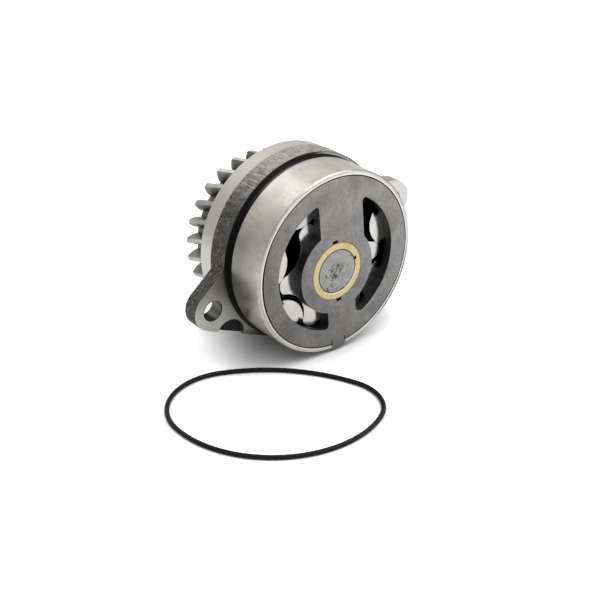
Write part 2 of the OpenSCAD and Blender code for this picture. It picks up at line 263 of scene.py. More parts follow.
def build_turned_marks():
    group, given, result = new_group("turned marks",
        {"Axis x": 0.0, "Axis z": 0.0, "Rings": 9000.0, "Wander": 2.0},
        {"Height": "Float", "Streak": "Float", "Radius": "Float"})
    xyz = split(group, coordinates(group)["Object"])
    across = calc(group, "SUBTRACT", xyz["X"], given["Axis x"])
    up = calc(group, "SUBTRACT", xyz["Z"], given["Axis z"])
    radius = distance(group, across, up)
    safe_radius = calc(group, "MAXIMUM", radius, smallest_radius)
    cosine = times(group, calc(group, "DIVIDE", across, safe_radius), given["Wander"])
    sine = times(group, calc(group, "DIVIDE", up, safe_radius), given["Wander"])
    crossing = calc(group, "ADD", radius, xyz["Y"])
    for title, share in (("Height", 1.0), ("Streak", streak_share)):
        rings = times(group, crossing, given["Rings"], share)
        along = add(group, "CombineXYZ", {"X": rings, "Y": cosine, "Z": sine}).outputs[0]
        group.links.new(noise(group, along, 1.0, 2.0), result[title])
    group.links.new(radius, result["Radius"])
    return group


turned_marks = build_turned_marks()
print("group:", turned_marks.name)

# %% [markdown]
# ### Cast skin
#
# Iron that was poured into sand keeps the sand's grain: fine bumps, a few deeper pits, and a
# patchy oxide colour. Two noises of different size make the bumps, and the middles of the cells of
# a Voronoi pattern make the pits, in the few places where a third noise is high. A second Voronoi
# pattern gives each grain a lightness by chance, and the lightest few glint.

# %% Make the cast skin group
coarse_share = 0.22
sparse_share = 0.35
pit_depth = 0.5


def build_cast_skin():
    group, given, result = new_group("cast skin", {"Grain": 1500.0, "Pits": 500.0},
        {"Height": "Float", "Shade": "Float", "Pit": "Float", "Glint": "Float"})
    here = coordinates(group)["Object"]
    fine = noise(group, here, given["Grain"], 6.0, 0.65)
    coarse = noise(group, here, times(group, given["Grain"], coarse_share), 3.0)
    cells = add(group, "TexVoronoi", {"Vector": here, "Scale": given["Pits"]}).outputs["Distance"]
    sparse = noise(group, here, times(group, given["Pits"], sparse_share), 2.0)
    pit = times(group, fade(group, cells, 0.28, 0.08), fade(group, sparse, 0.56, 0.62))
    bumps = calc(group, "ADD", times(group, fine, 0.6), times(group, coarse, 0.7))
    height = calc(group, "SUBTRACT", bumps, times(group, pit, pit_depth))
    patchy = calc(group, "ADD", fine, times(group, coarse, 0.35))
    crystals = add(group, "TexVoronoi", {"Vector": here, "Scale": given["Grain"]}).outputs["Color"]
    lightness = split(group, crystals)["X"]
    group.links.new(height, result["Height"])
    group.links.new(fade(group, patchy, 0.58, 0.77), result["Shade"])
    group.links.new(pit, result["Pit"])
    group.links.new(fade(group, lightness, 0.95, 0.99), result["Glint"])
    return group


cast_skin = build_cast_skin()
print("group:", cast_skin.name)

# %% [markdown]
# ### Mottle
#
# Ground and handled steel is never one grey. Oil, a thumb and the grinding dust leave soft clouds
# a few millimetres wide, and small specks. Clouds and specks leave the group apart, because a
# material may want one without the other.

# %% Make the mottle group
def build_mottle():
    group, given, result = new_group("mottle", {"Clouds": 120.0, "Specks": 900.0},
        {"Cloud": "Float", "Speck": "Float"})
    here = coordinates(group)["Object"]
    cloud = noise(group, here, given["Clouds"], 5.0, 0.6)
    speck = noise(group, here, given["Specks"], 2.0)
    group.links.new(fade(group, cloud, 0.3, 0.7), result["Cloud"])
    group.links.new(fade(group, speck, 0.62, 0.74), result["Speck"])
    return group


mottle = build_mottle()
print("group:", mottle.name)

# %% [markdown]
# ### Scratches
#
# A scratch is long and thin, so it is a noise that is squeezed one way and stretched the other,
# and only its highest crests are kept. Three directions are laid over each other, because real
# scratches cross. A broader noise breaks them up, so that they come in groups.

# %% Make the scratches group
scratch_turns = (20, 75, 140)
scratch_stretch = 0.07
gap_share = 0.2


def build_scratches():
    group, given, result = new_group("scratches", {"Fineness": 1400.0, "Amount": 0.3},
        {"Mask": "Float"})
    here = coordinates(group)["Object"]
    gap_size = times(group, given["Fineness"], gap_share)
    gap_start = calc(group, "SUBTRACT", 0.8, given["Amount"])
    layers = []
    for number, turn in enumerate(scratch_turns):
        turned = add(group, "Mapping", {"Vector": here, "Rotation": (0, math.radians(turn), 0),
            "Location": (number * 0.37, 0, number * 0.11),
            "Scale": (1.0, 1.0, scratch_stretch)}).outputs[0]
        crests = fade(group, noise(group, turned, given["Fineness"], 1.0), 0.70, 0.78)
        gaps = fade(group, noise(group, turned, gap_size, 2.0), gap_start, 0.75)
        layers.append(times(group, crests, gaps))
    group.links.new(either(group, *layers), result["Mask"])
    return group


scratches = build_scratches()
print("group:", scratches.name)

# %% [markdown]
# ### Worn edges
#
# No machined edge is perfectly sharp: it is broken with a file and then polished by handling. The
# Bevel node gives the normal that a rounded edge would have. Where that differs from the flat
# normal there is an edge, which gives both a soft highlight and a mask for brighter metal.

# %% Make the worn edges group
def build_worn_edges():
    group, given, result = new_group("worn edges", {"Width": 0.0003},
        {"Normal": "Vector", "Mask": "Float"})
    rounded = add(group, "Bevel", {"Radius": given["Width"]}, samples=6).outputs["Normal"]
    flat = add(group, "NewGeometry", {}).outputs["Normal"]
    likeness = add(group, "VectorMath", {0: rounded, 1: flat}, operation="DOT_PRODUCT")
    group.links.new(rounded, result["Normal"])
    group.links.new(fade(group, likeness.outputs["Value"], 0.995, 0.9), result["Mask"])
    return group


worn_edges = build_worn_edges()
print("group:", worn_edges.name)

# %% [markdown]
# ## Start of a material
#
# Every finish here is one Principled shader. A metal takes its colour in reflections, so its base
# colour is bright and its roughness says how blurred the studio looks in it. A material first
# places the groups that it needs, then mixes its colour, and ends by filling the shader's sockets.

# %% Write the material helpers
def new_material(name):
    material = bpy.data.materials.new(name)
    material.use_nodes = True
    tree = material.node_tree
    return material, tree, tree.nodes["Principled BSDF"]


def bump(tree, height, depth, normal):
    sockets = {"Height": height, "Distance": depth, "Strength": 1.0, "Normal": normal}
    return add(tree, "Bump", sockets).outputs["Normal"]


def closeness(tree, reach):
    return add(tree, "AmbientOcclusion", {"Distance": reach}, samples=8).outputs["AO"]


def fill(tree, surface, looks):
    for name, value in looks.items():
        feed(tree, value, surface.inputs[name])


def dress(material, *names):
    for name in names:
        for slot in nodes[name].material_slots:
            slot.material = material
        print("%s: %s" % (name, material.name))


print("material helpers ready")

# %% [markdown]
# ## The body
#
# One iron casting carries many finishes. The barrel, the front rim, the ring behind the flange and the
# fronts of the ears are turned bright, and the bolt holes are drilled. The neck for the O-ring and the
# relief beside it are dark, a painted shade. The flange's rim and the sides of the ears are rough as
# cast.
# Several materials could be given to groups of faces, but the cutters crossed all of them in the
# same block of iron, so one material follows them with masks made from the position.

# %% Name where the cutters stopped
ledge = 0.1 * mm
gleam_start_depth = 20.35 * mm
gleam_end_depth = 20.75 * mm
gleam_radius = 38.7 * mm
lip_width = 0.55 * mm
chamfer_depth = 0.6 * mm
scallop_start_depth = 23.3 * mm
bolt_circle = 50.0 * mm
ear_angles = (198.3, 9.3, 319.16)
hole_reach = 4.6 * mm


def hole_mask(tree, xyz):
    holes = []
    for angle in ear_angles:
        hole_x = bolt_circle * math.cos(math.radians(angle))
        hole_z = bolt_circle * math.sin(math.radians(angle))
        across = calc(tree, "SUBTRACT", xyz["X"], hole_x)
        up = calc(tree, "SUBTRACT", xyz["Z"], hole_z)
        holes.append(under(tree, distance(tree, across, up), hole_reach))
    return either(tree, *holes)


print("holes at", ", ".join("%.1f degrees" % angle for angle in ear_angles))

# %% [markdown]
# ### Where each finish of the body is
#
# The masks get names before any colour is mixed. Most are the cutters' own: the front rim, the fronts of
# the ears, the drilled holes, the neck. The others are for small marks: a thin gleam along the bottom of
# the neck, a pale lip round the plate's seat that is a painted highlight, and a pale, matte wall of the
# relief on the right that is painted light.

# %% Write the masks of the body
def body_masks(tree, xyz, facing, radius):
    x, y, z = xyz["X"], xyz["Y"], xyz["Z"]
    forward = under(tree, facing["Y"], -0.9)
    front = times(tree, forward, under(tree, y, ledge))
    ear = times(tree, forward, within(tree, y, face_depth - ledge, face_depth + ledge))
    drilled = hole_mask(tree, xyz)
    ring = over(tree, y, rim_end_depth)
    neck = times(tree, within(tree, y, neck_depth, relief_end_depth), under(tree, radius, relief_radius))
    gleam = times(tree, within(tree, y, gleam_start_depth, gleam_end_depth),
        under(tree, radius, gleam_radius), over(tree, z, 0.0),
        fade(tree, x, -25 * mm, -19 * mm), fade(tree, x, 2 * mm, -9 * mm))
    painted_light_wall = times(tree, neck, forward, over(tree, radius, relief_wall_radius),
        fade(tree, x, 5 * mm, 12 * mm))
    return {
        "front": front, "ear": ear, "drilled": drilled, "ring": ring,
        "neck": neck, "gleam": gleam, "painted light wall": painted_light_wall,
        "turned": either(tree, under(tree, y, neck_depth), ring, ear, drilled),
        "lip": times(tree, front, under(tree, radius, seam_radius + lip_width)),
        "chamfer": times(tree, under(tree, y, chamfer_depth), within(tree, facing["Y"], -0.9, -0.2)),
        "scallop": times(tree, forward, within(tree, y, scallop_start_depth, ear_back_depth)),
        "inside": times(tree, under(tree, radius, seam_radius + seam_width), under(tree, y, neck_depth)),
    }


print("masks of the body ready")

# %% [markdown]
# ### The turned barrel
#
# The barrel is bright iron with darker streaks where the tool left them, a few stains, and an oil film
# that was wiped along it and lies in long patches. Its left side darkens towards the neck, next to the
# ear: that is a painted reflection of the dark ear.

# %% Colour the barrel
oil_film = (0.33, 0.315, 0.27, 1.0)


def barrel_colour(tree, point, xyz, marks, clouds):
    colour = blend(tree, clouds["Cloud"], grey(0.50, 0.04), grey(0.60, 0.045))
    colour = tinge(tree, colour, marks["Streak"], 0.25, grey(0.40, 0.05))
    stains = place(tree, mottle, clouds=40.0, specks=240.0)
    colour = tinge(tree, colour, stains["Speck"], 0.35, grey(0.24, 0.08))
    wiped = add(tree, "Mapping", {"Vector": point, "Scale": (1.0, 0.35, 1.0)}).outputs[0]
    film = fade(tree, noise(tree, wiped, 220.0, 5.0, 0.65), 0.47, 0.62, 0.0, 0.32)
    colour = blend(tree, film, colour, oil_film)
    # Painted reflection: the left side of the barrel is darkened towards the neck, next to the ear.
    painted_ear_reflection = times(tree, fade(tree, xyz["X"], -33.5 * mm, -37.5 * mm),
        fade(tree, xyz["Y"], 1 * mm, 13 * mm))
    return tinge(tree, colour, painted_ear_reflection, 0.8, grey(0.22, 0.04))


print("oil film", oil_film[:3])

# %% [markdown]
# ### The front rim
#
# The narrow face round the plate is cloudy, and its inner lip carries a painted highlight that makes it
# the brightest part of the body. The face is darker at its lower right and far left, and so is its
# chamfer on the right half: these are painted shade.

# %% Colour the front rim
def front_colour(tree, xyz, clouds):
    colour = blend(tree, clouds["Cloud"], grey(0.46, 0.03), grey(0.78, 0.03))
    # Painted shade on the face at its lower right and far left.
    to_low_right = calc(tree, "SUBTRACT", times(tree, xyz["X"], 0.87), times(tree, xyz["Z"], 0.5))
    low_right = fade(tree, to_low_right, 33 * mm, 38 * mm, 0.0, 0.8)
    colour = blend(tree, low_right, colour, grey(0.16, 0.02))
    painted_shade_far_left = fade(tree, xyz["X"], -27 * mm, -35 * mm, 0.0, 0.45)
    return blend(tree, painted_shade_far_left, colour, grey(0.28, 0.03))


# The lip's colour is a painted highlight, and the chamfer's is a painted shade.
painted_lip_highlight = grey(0.85, 0.01)
painted_chamfer_shade = grey(0.22, 0.02)
print("lip", painted_lip_highlight[:3])

# %% [markdown]
# ### The ears and their holes
#
# The fronts of the ears are milled, and the left ear is duller towards its upper end. An Ambient
# Occlusion node finds the corner against the barrel and darkens it with painted shade, and the bottom of
# the lowest ear gets the darkest painted shade. The right ear and its hole get painted light. The other
# holes are nearly black inside, a painted shade, and a little lighter on the side that faces left.

# %% Colour the ears
right_ear_start, right_ear_end = 30 * mm, 42 * mm
milled_dull = (0.46, 0.462, 0.43, 1.0)
milled_bright = (0.60, 0.602, 0.565, 1.0)


def ear_colour(tree, xyz, clouds, painted_corner_shade):
    colour = blend(tree, clouds["Cloud"], milled_dull, milled_bright)
    colour = blend(tree, fade(tree, xyz["Z"], -16 * mm, -7 * mm, 0.0, 0.7), colour, grey(0.22, 0.03))
    # Painted light makes the right ear paler.
    painted_light_right = fade(tree, xyz["X"], right_ear_start, right_ear_end)
    colour = blend(tree, painted_light_right, colour, grey(0.66, 0.02))
    # Painted shade in the corner against the barrel, and at the bottom of the lowest ear.
    colour = blend(tree, fade(tree, painted_corner_shade, 0.9, 0.35), colour, grey(0.14, 0.04))
    return blend(tree, fade(tree, xyz["Z"], -29 * mm, -35 * mm), colour, grey(0.08, 0.03))


def bore_colour(tree, xyz, facing):
    # Painted shade: the walls are nearly black, a little lighter where they face left.
    colour = blend(tree, fade(tree, facing["X"], -0.6, -0.2), grey(0.13, 0.04), grey(0.01))
    # Painted light makes the right ear's hole pale.
    painted_light_right = fade(tree, xyz["X"], right_ear_start, right_ear_end)
    return blend(tree, painted_light_right, colour, grey(0.80, 0.02))


print("right ear from %.0f mm" % (right_ear_start / mm))

# %% [markdown]
# ### The cast skin of the flange
#
# The flange's rim is as it left the sand: dark oxide, with painted light where it faces up and painted
# shade at its far left. Near its top somebody dressed it with a file, which left short bright strokes
# along the axis. They are a noise that is stretched along the axis. Its underside is lighter too, a
# painted reflection of the white floor. Grains glint, pits are black, and edges are rubbed bright.

# %% Colour the cast skin
def cast_colour(tree, point, xyz, facing, skin, edges, painted_top_light):
    shaded = blend(tree, skin["Shade"], grey(0.035, 0.08), grey(0.13, 0.06))
    lit = blend(tree, skin["Shade"], grey(0.20, 0.06), grey(0.46, 0.04))
    # Painted light: the lit copy where the skin faces up, the shaded copy elsewhere.
    colour = blend(tree, painted_top_light, shaded, lit)
    along = add(tree, "Mapping", {"Vector": point, "Scale": (1.0, 0.1, 1.0)}).outputs[0]
    strokes = fade(tree, noise(tree, along, 1700.0, 2.0), 0.48, 0.60, 0.0, 0.75)
    filed = times(tree, fade(tree, xyz["Z"], 29 * mm, 33 * mm),
        within(tree, xyz["X"], -29 * mm, -5 * mm))
    colour = tinge(tree, colour, strokes, filed, grey(0.50, 0.03))
    # Painted reflection of the white floor on the underside.
    underside = fade(tree, facing["Z"], -0.35, -0.85, 0.0, 0.7)
    colour = blend(tree, underside, colour, grey(0.34, 0.05))
    colour = tinge(tree, colour, skin["Glint"], 0.6, grey(0.42, 0.02))
    colour = tinge(tree, colour, skin["Pit"], 0.8, grey(0.02))
    return tinge(tree, colour, edges["Mask"], 0.5, grey(0.35, 0.03))


print("cast skin ready")

# %% [markdown]
# ### The body put together
#
# The bright finishes are laid over each other first, and the turned mask then chooses between
# them and the cast skin. Turned metal reflects in a band across its rings, which the Anisotropic
# socket gives once a Tangent node says which way the rings run.

# %% Make the body's finish
def bright_colour(tree, point, xyz, facing, masks, marks, clouds):
    painted_corner_shade = closeness(tree, 14 * mm)
    colour = barrel_colour(tree, point, xyz, marks, clouds)
    colour = blend(tree, masks["front"], colour, front_colour(tree, xyz, clouds))
    colour = blend(tree, masks["lip"], colour, painted_lip_highlight)
    # Painted shade on the right half of the chamfer.
    rightward = fade(tree, xyz["X"], -8 * mm, 8 * mm)
    colour = tinge(tree, colour, masks["chamfer"], rightward, painted_chamfer_shade)
    # Painted reflection of the white floor: the ring behind the flange is lighter at its low side.
    low = fade(tree, xyz["Z"], 12 * mm, 5 * mm)
    behind = blend(tree, low, grey(0.51, 0.04), grey(0.70, 0.02))
    colour = blend(tree, masks["ring"], colour, behind)
    colour = blend(tree, masks["ear"], colour, ear_colour(tree, xyz, clouds, painted_corner_shade))
    return blend(tree, masks["drilled"], colour, bore_colour(tree, xyz, facing))


def build_body():
    material, tree, surface = new_material("machined and cast iron")
    here = coordinates(tree)
    xyz = split(tree, here["Object"])
    facing = split(tree, here["Normal"])
    marks = place(tree, turned_marks, rings=7000.0, wander=1.5)
    skin = place(tree, cast_skin, grain=1300.0, pits=420.0)
    clouds = place(tree, mottle, clouds=70.0, specks=700.0)
    edges = place(tree, worn_edges, width=0.12 * mm)
    masks = body_masks(tree, xyz, facing, marks["Radius"])

    # Painted light from above: lighter where a surface faces up, darker at the far left.
    painted_top_light = times(tree, fade(tree, facing["Z"], 0.55, 1.0), fade(tree, xyz["X"], -38 * mm, -31 * mm))
    bright = bright_colour(tree, here["Object"], xyz, facing, masks, marks, clouds)
    rough = cast_colour(tree, here["Object"], xyz, facing, skin, edges, painted_top_light)
    colour = blend(tree, masks["turned"], rough, bright)
    # Painted shade in the neck and the relief, lighter at the top with painted light.
    colour = blend(tree, masks["neck"], colour, blend(tree, painted_top_light, grey(0.035), grey(0.20)))
    # Painted light on the wall of the relief on the right, which is pale and not metallic.
    colour = blend(tree, masks["painted light wall"], colour, grey(0.85, 0.02))
    colour = blend(tree, masks["gleam"], colour, grey(0.80))
    # The scallop's floor is dark as cast and darkened further with painted shade.
    colour = blend(tree, masks["scallop"], colour, grey(0.03, 0.03))
    # Painted shade: the inside of the pocket is near black.
    colour = blend(tree, masks["inside"], colour, grey(0.015))

    turned_gloss = blend(tree, masks["ring"], blend(tree, marks["Streak"], 0.30, 0.40), 0.5)
    gloss = blend(tree, masks["turned"], 0.62, turned_gloss)
    metal = blend(tree, masks["turned"], 0.55, 1.0)
    height = blend(tree, masks["turned"], skin["Height"], times(tree, marks["Height"], 0.04))
    fill(tree, surface, {
        "Base Color": colour,
        "Roughness": blend(tree, masks["neck"], gloss, 0.4),
        "Metallic": blend(tree, masks["painted light wall"], metal, 0.0),
        "Anisotropic": 0.6,
        "Tangent": add(tree, "Tangent", {}, direction_type="RADIAL", axis="Y").outputs[0],
        "Normal": bump(tree, height, 0.22 * mm, edges["Normal"]),
    })
    return material


dress(build_body(), "pump_body")

# %% [markdown]
# ## The port plate
#
# The plate is iron too, but it is ground flat and left dull and darker than the barrel. Its face is
# cloudy, with dark and light grit, and with fine scratches from stacking. The walls of its ports
# weren't ground at all and are nearly black, so the direction that a surface faces separates the
# two. Old oil fills the seam round the plate. It is a dark line on the plate's own edge, left out
# beside the tab, where the plate and the rim lie level and clean.

# %% Colour the plate's face
tab_x = 1.7 * mm
tab_reach = 3.6 * mm


def seam_oil(tree, xyz):
    radius = distance(tree, xyz["X"], xyz["Z"])
    width = fade(tree, xyz["X"], -30 * mm, -37 * mm, 0.25 * mm, 0.55 * mm)
    edge = within(tree, radius, calc(tree, "SUBTRACT", plate_radius, width), seam_radius)
    beside_tab = over(tree, away(tree, xyz["X"], tab_x), tab_reach)
    above_tab = over(tree, xyz["Z"], 0.0)
    return times(tree, edge, either(tree, beside_tab, above_tab))


def plate_colour(tree, point, xyz, clouds, lines, edges):
    # Painted shade and light: the face is darker towards the lower left and lighter towards the upper
    # right.
    painted_shade_low_left = fade(tree, calc(tree, "ADD", xyz["X"], xyz["Z"]), 30 * mm, -40 * mm)
    lit_plate_grey = blend(tree, clouds["Cloud"], grey(0.24, 0.02), grey(0.34, 0.035))
    shaded_plate_grey = blend(tree, clouds["Cloud"], grey(0.17, 0.01), grey(0.24, 0.03))
    colour = blend(tree, painted_shade_low_left, lit_plate_grey, shaded_plate_grey)
    colour = tinge(tree, colour, clouds["Speck"], 0.4, grey(0.42))
    dark_grit = fade(tree, noise(tree, point, 550.0, 4.0, 0.6), 0.50, 0.68, 0.0, 0.34)
    colour = blend(tree, dark_grit, colour, grey(0.10, 0.04))
    light_grit = fade(tree, noise(tree, point, 700.0, 4.0, 0.6), 0.42, 0.30, 0.0, 0.34)
    colour = blend(tree, light_grit, colour, grey(0.50, 0.03))
    colour = tinge(tree, colour, lines["Mask"], 0.4, grey(0.14))
    colour = tinge(tree, colour, edges["Mask"], 0.5, grey(0.5))
    oil = seam_oil(tree, xyz)
    colour = blend(tree, oil, colour, grey(0.01))
    smudge = fade(tree, noise(tree, point, 70.0, 4.0), 0.50, 0.66, 0.0, 0.35)
    off_seam = calc(tree, "SUBTRACT", 1.0, oil)
    return tinge(tree, colour, smudge, off_seam, grey(0.12, 0.06))


print("tab at %.1f mm" % (tab_x / mm))

# %% [markdown]
# ### The plate put together
#
# The face takes the ground colour, and every wall takes the dark one. The bump is slight, because
# a ground face is nearly flat, and the scratches are cut a little into it.

# %% Make the plate's finish
def build_plate():
    material, tree, surface = new_material("ground iron plate")
    here = coordinates(tree)
    xyz = split(tree, here["Object"])
    facing = split(tree, here["Normal"])
    clouds = place(tree, mottle, clouds=95.0, specks=800.0)
    lines = place(tree, scratches, fineness=2300.0, amount=0.30)
    skin = place(tree, cast_skin, grain=1800.0, pits=600.0)
    edges = place(tree, worn_edges, width=0.07 * mm)
    on_face = over(tree, away(tree, facing["Y"]), 0.7)
    walls = blend(tree, skin["Shade"], grey(0.05), grey(0.10))
    ground = plate_colour(tree, here["Object"], xyz, clouds, lines, edges)
    scored = calc(tree, "SUBTRACT", times(tree, skin["Height"], 0.10), times(tree, lines["Mask"], 0.02))
    fill(tree, surface, {
        "Base Color": blend(tree, on_face, walls, ground),
        "Roughness": blend(tree, on_face, 0.6, blend(tree, clouds["Cloud"], 0.50, 0.40)),
        "Metallic": 1.0,
        "Normal": bump(tree, scored, 0.15 * mm, edges["Normal"]),
    })
    return material


dress(build_plate(), "cover_plate")

# %% [markdown]
# ## The bushes
#
# The bushes are bronze, turned to size and pressed in. Bronze is a warm yellow metal, a little redder
# where it has aged. Its outer edge is dark with old oil, the oil groove in its bore is black with old
# oil and painted shade, and its inner edge carries a painted highlight at the lower right. The thrust
# washer behind them is cut from the same stock.

# %% Colour the bronze
bush_rim_radius = 12.45 * mm
inner_edge_radius = 10.15 * mm
groove_start_radius = 9.85 * mm
groove_end_radius = 11 * mm
painted_edge_highlight = (0.97, 0.96, 0.92, 1.0)
rim_brown = (0.14, 0.07, 0.03, 1.0)
speck_brown = (0.32, 0.22, 0.09, 1.0)


def bronze_colour(tree, xyz, facing, radius, clouds):
    patches = place(tree, mottle, clouds=110.0, specks=700.0)
    yellow = blend(tree, clouds["Cloud"], (0.54, 0.50, 0.24, 1.0), (0.68, 0.65, 0.37, 1.0))
    orange = blend(tree, clouds["Cloud"], (0.60, 0.43, 0.20, 1.0), (0.70, 0.55, 0.31, 1.0))
    colour = blend(tree, patches["Cloud"], yellow, orange)
    colour = tinge(tree, colour, clouds["Speck"], 0.5, speck_brown)
    colour = tinge(tree, colour, over(tree, radius, bush_rim_radius), 0.8, rim_brown)
    # Painted highlight on the inner edge at the lower right.
    low_right = calc(tree, "SUBTRACT", times(tree, xyz["X"], 0.5), xyz["Z"])
    inner_edge = under(tree, radius, inner_edge_radius)
    colour = tinge(tree, colour, inner_edge, fade(tree, low_right, 9 * mm, 12 * mm), painted_edge_highlight)
    # Painted shade blackens the oil groove in the bore.
    sideways = under(tree, away(tree, facing["Y"]), 0.7)
    in_groove = within(tree, radius, groove_start_radius, groove_end_radius)
    return tinge(tree, colour, sideways, in_groove, grey(0.01))


print("oil groove from %.2f mm" % (groove_start_radius / mm))

# %% [markdown]
# ### The bronze put together
#
# The turning marks run round the shaft's axis, which lies a little below the barrel's, so the
# group gets that axis. The edges are rounded more than on iron, because bronze is soft.

# %% Make the bronze
def build_bronze():
    material, tree, surface = new_material("turned bronze")
    here = coordinates(tree)
    xyz = split(tree, here["Object"])
    facing = split(tree, here["Normal"])
    marks = place(tree, turned_marks, axis_x=shaft_x, axis_z=shaft_z, rings=6000.0, wander=1.0)
    clouds = place(tree, mottle, clouds=260.0, specks=1500.0)
    edges = place(tree, worn_edges, width=0.22 * mm)
    fill(tree, surface, {
        "Base Color": bronze_colour(tree, xyz, facing, marks["Radius"], clouds),
        "Roughness": blend(tree, marks["Streak"], 0.26, 0.40),
        "Metallic": 1.0,
        "Normal": bump(tree, marks["Height"], 0.012 * mm, edges["Normal"]),
    })
    return material


dress(build_bronze(), "plate_bush", "front_body_bush", "rear_body_bush", "thrust_washer")

# %% [markdown]
# ## The shaft
#
# The shaft is ground steel. Its end has been handled and knocked about, so it has clouds, long
# scratches and dark scuffs. A scuff is a thin, wandering line: a noise is kept only where it is
# close to its middle value. The scuffs lie in the middle, at the low edge and in a few places by
# chance, and in the middle a soft smear lies under them.

# %% Colour the shaft
seam_start_radius = 9.3 * mm
seam_end_radius = 9.9 * mm


def scuffed(tree, point, xyz, radius, colour):
    line = away(tree, noise(tree, point, 520.0, 4.0, 0.6), 0.5)
    squiggle = fade(tree, line, 0.075, 0.025)
    middle = fade(tree, radius, 5.5 * mm, 2.5 * mm)
    low_edge = fade(tree, xyz["Z"], -10.5 * mm, -12.0 * mm)
    knocked = fade(tree, noise(tree, point, 170.0, 2.0), 0.56, 0.62)
    patches = fade(tree, noise(tree, point, 300.0, 3.0), 0.42, 0.54)
    colour = tinge(tree, colour, times(tree, patches, middle), 0.35, grey(0.16))
    scuff = times(tree, squiggle, patches, either(tree, middle, low_edge, knocked))
    return tinge(tree, colour, scuff, 0.9, grey(0.04))


def shaft_colour(tree, point, xyz, radius, clouds):
    lines = place(tree, scratches, fineness=900.0, amount=0.42)
    colour = blend(tree, clouds["Cloud"], grey(0.28, 0.01), grey(0.40, 0.02))
    colour = tinge(tree, colour, lines["Mask"], 0.75, grey(0.08))
    colour = scuffed(tree, point, xyz, radius, colour)
    colour = tinge(tree, colour, clouds["Speck"], 0.6, grey(0.60))
    seam = within(tree, radius, seam_start_radius, seam_end_radius)
    return tinge(tree, colour, seam, 0.9, grey(0.03))


print("shaft's seam from %.1f mm" % (seam_start_radius / mm))

# %% [markdown]
# ### The thread on the shaft
#
# The end behind the gear is threaded. A thread's ridge climbs by one pitch in each turn, so depth
# and angle together give it: the depth in pitches plus the angle in turns has the same fraction
# all along one ridge. A bump is enough, because the nut hides all but the last few turns.

# %% Make the shaft's finish
thread_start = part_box("spring_washer")[0].y
thread_pitch = 1.5 * mm


def screw_line(tree, xyz):
    across = calc(tree, "SUBTRACT", xyz["X"], shaft_x)
    up = calc(tree, "SUBTRACT", xyz["Z"], shaft_z)
    turns = calc(tree, "DIVIDE", calc(tree, "ARCTAN2", up, across), 2 * math.pi)
    pitches = calc(tree, "DIVIDE", xyz["Y"], thread_pitch)
    climb = calc(tree, "FRACT", calc(tree, "ADD", pitches, turns))
    return times(tree, away(tree, climb, 0.5), over(tree, xyz["Y"], thread_start))


def build_shaft():
    material, tree, surface = new_material("ground shaft steel")
    point = coordinates(tree)["Object"]
    xyz = split(tree, point)
    marks = place(tree, turned_marks, axis_x=shaft_x, axis_z=shaft_z, rings=8000.0, wander=1.0)
    clouds = place(tree, mottle, clouds=190.0, specks=1000.0)
    edges = place(tree, worn_edges, width=0.08 * mm)
    height = calc(tree, "ADD", times(tree, marks["Height"], 0.02), screw_line(tree, xyz))
    fill(tree, surface, {
        "Base Color": shaft_colour(tree, point, xyz, marks["Radius"], clouds),
        "Roughness": blend(tree, clouds["Cloud"], 0.42, 0.30),
        "Metallic": 1.0,
        "Normal": bump(tree, height, 1.2 * mm, edges["Normal"]),
    })
    return material


dress(build_shaft(), "drive_shaft", "rotor_key", "gear_key")

# %% [markdown]
# ## The rotors
#
# The rotors are sintered steel: powder pressed in a die and baked. The surface is satin with tiny pores.
# The end faces are lapped bright, the flanks are dark with oil and with painted shade for the deep
# pockets between the rotors, and their edges shine. The corners between the outer rotor's lobes are
# black with painted shade. The cosine of the angle times the number of lobes rises and falls once for
# each lobe, so one formula finds all seven corners. Only the outer rotor has them, so it gets a material
# of its own.

# %% Make the sintered steel
lobe_count = 7
lobe_angle = math.radians(66.7)
corner_start_radius = 26.7 * mm
corner_end_radius = 27.5 * mm


def painted_lobe_shade(tree, xyz):
    angle = calc(tree, "ARCTAN2", xyz["Z"], xyz["X"])
    turns = times(tree, calc(tree, "SUBTRACT", angle, lobe_angle), lobe_count)
    off_lobe = fade(tree, calc(tree, "COSINE", turns), 0.2, -0.1)
    radius = distance(tree, xyz["X"], xyz["Z"])
    return times(tree, off_lobe, fade(tree, radius, corner_start_radius, corner_end_radius))


def build_sintered(name, outer):
    material, tree, surface = new_material(name)
    here = coordinates(tree)
    facing = split(tree, here["Normal"])
    clouds = place(tree, mottle, clouds=150.0, specks=1600.0)
    edges = place(tree, worn_edges, width=0.06 * mm)
    lapped = over(tree, away(tree, facing["Y"]), 0.9)
    face = blend(tree, clouds["Cloud"], grey(0.56, 0.02), grey(0.68, 0.02))
    if outer:
        # Painted shade: the corners between the lobes are black.
        corners = painted_lobe_shade(tree, split(tree, here["Object"]))
        face = blend(tree, corners, face, grey(0.004))
    # Painted shade darkens the flanks.
    flank = blend(tree, clouds["Cloud"], grey(0.07, 0.02), grey(0.11, 0.02))
    flank = blend(tree, edges["Mask"], flank, grey(0.75, 0.02))
    colour = blend(tree, lapped, flank, face)
    fill(tree, surface, {
        "Base Color": tinge(tree, colour, clouds["Speck"], 0.35, grey(0.25)),
        "Roughness": blend(tree, clouds["Cloud"], 0.20, 0.14),
        "Metallic": 1.0,
        "Normal": bump(tree, calc(tree, "SUBTRACT", 1.0, clouds["Speck"]), 0.01 * mm, edges["Normal"]),
    })
    return material


dress(build_sintered("inner rotor steel", False), "inner_rotor")
dress(build_sintered("outer rotor steel", True), "outer_rotor")

# %% [markdown]
# ## The gear
#
# The gear is cut from steel and left oiled, which turns its flanks a slightly green grey. The
# lands on top of the teeth are lighter, the turned sides are plain grey, and edges are bright.
# Deep between the teeth little light arrives and old oil stays, so an Ambient Occlusion node darkens the
# gaps with painted shade.

